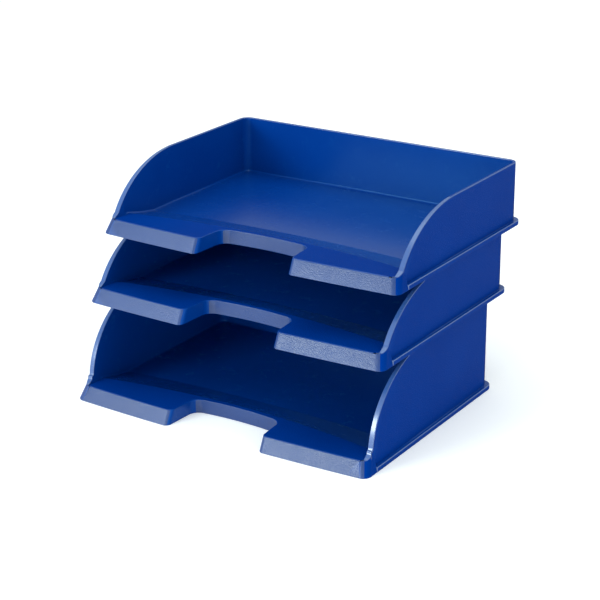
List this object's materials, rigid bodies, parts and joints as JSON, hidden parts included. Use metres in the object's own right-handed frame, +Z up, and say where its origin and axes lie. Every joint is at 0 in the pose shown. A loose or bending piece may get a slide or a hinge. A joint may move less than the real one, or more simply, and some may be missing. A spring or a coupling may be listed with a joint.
{
  "type": "stack of letter trays",
  "caption": "Landscape A4 letter trays stacked in steps, a tall one below two standard ones, each with swept side walls and a low front lip with a finger notch.",
  "frame": {"origin": "on the desk, under the middle of the whole stack's bounding box", "axes": "+X to the right across the width, +Y towards the back walls, +Z up; the open fronts with the finger notches face -Y"},
  "size_m": [0.363, 0.3284, 0.2419],
  "materials": {
    "blue_plastic": "semi-gloss injection-moulded polystyrene with a fine spark-eroded grain"
  },
  "bodies": {
    "bottom_tray": {"bottom_tray": "blue_plastic"},
    "middle_tray": {"middle_tray": "blue_plastic"},
    "top_tray": {"top_tray": "blue_plastic"}
  },
  "joints": [
    {"name": "middle_lift", "type": "slide", "parent": "bottom_tray", "child": "middle_tray", "axis": [0, 0, 1], "range_m": [0, 0.12]},
    {"name": "top_lift", "type": "slide", "parent": "middle_tray", "child": "top_tray", "axis": [0, 0, 1], "range_m": [0, 0.12]}
  ]
}
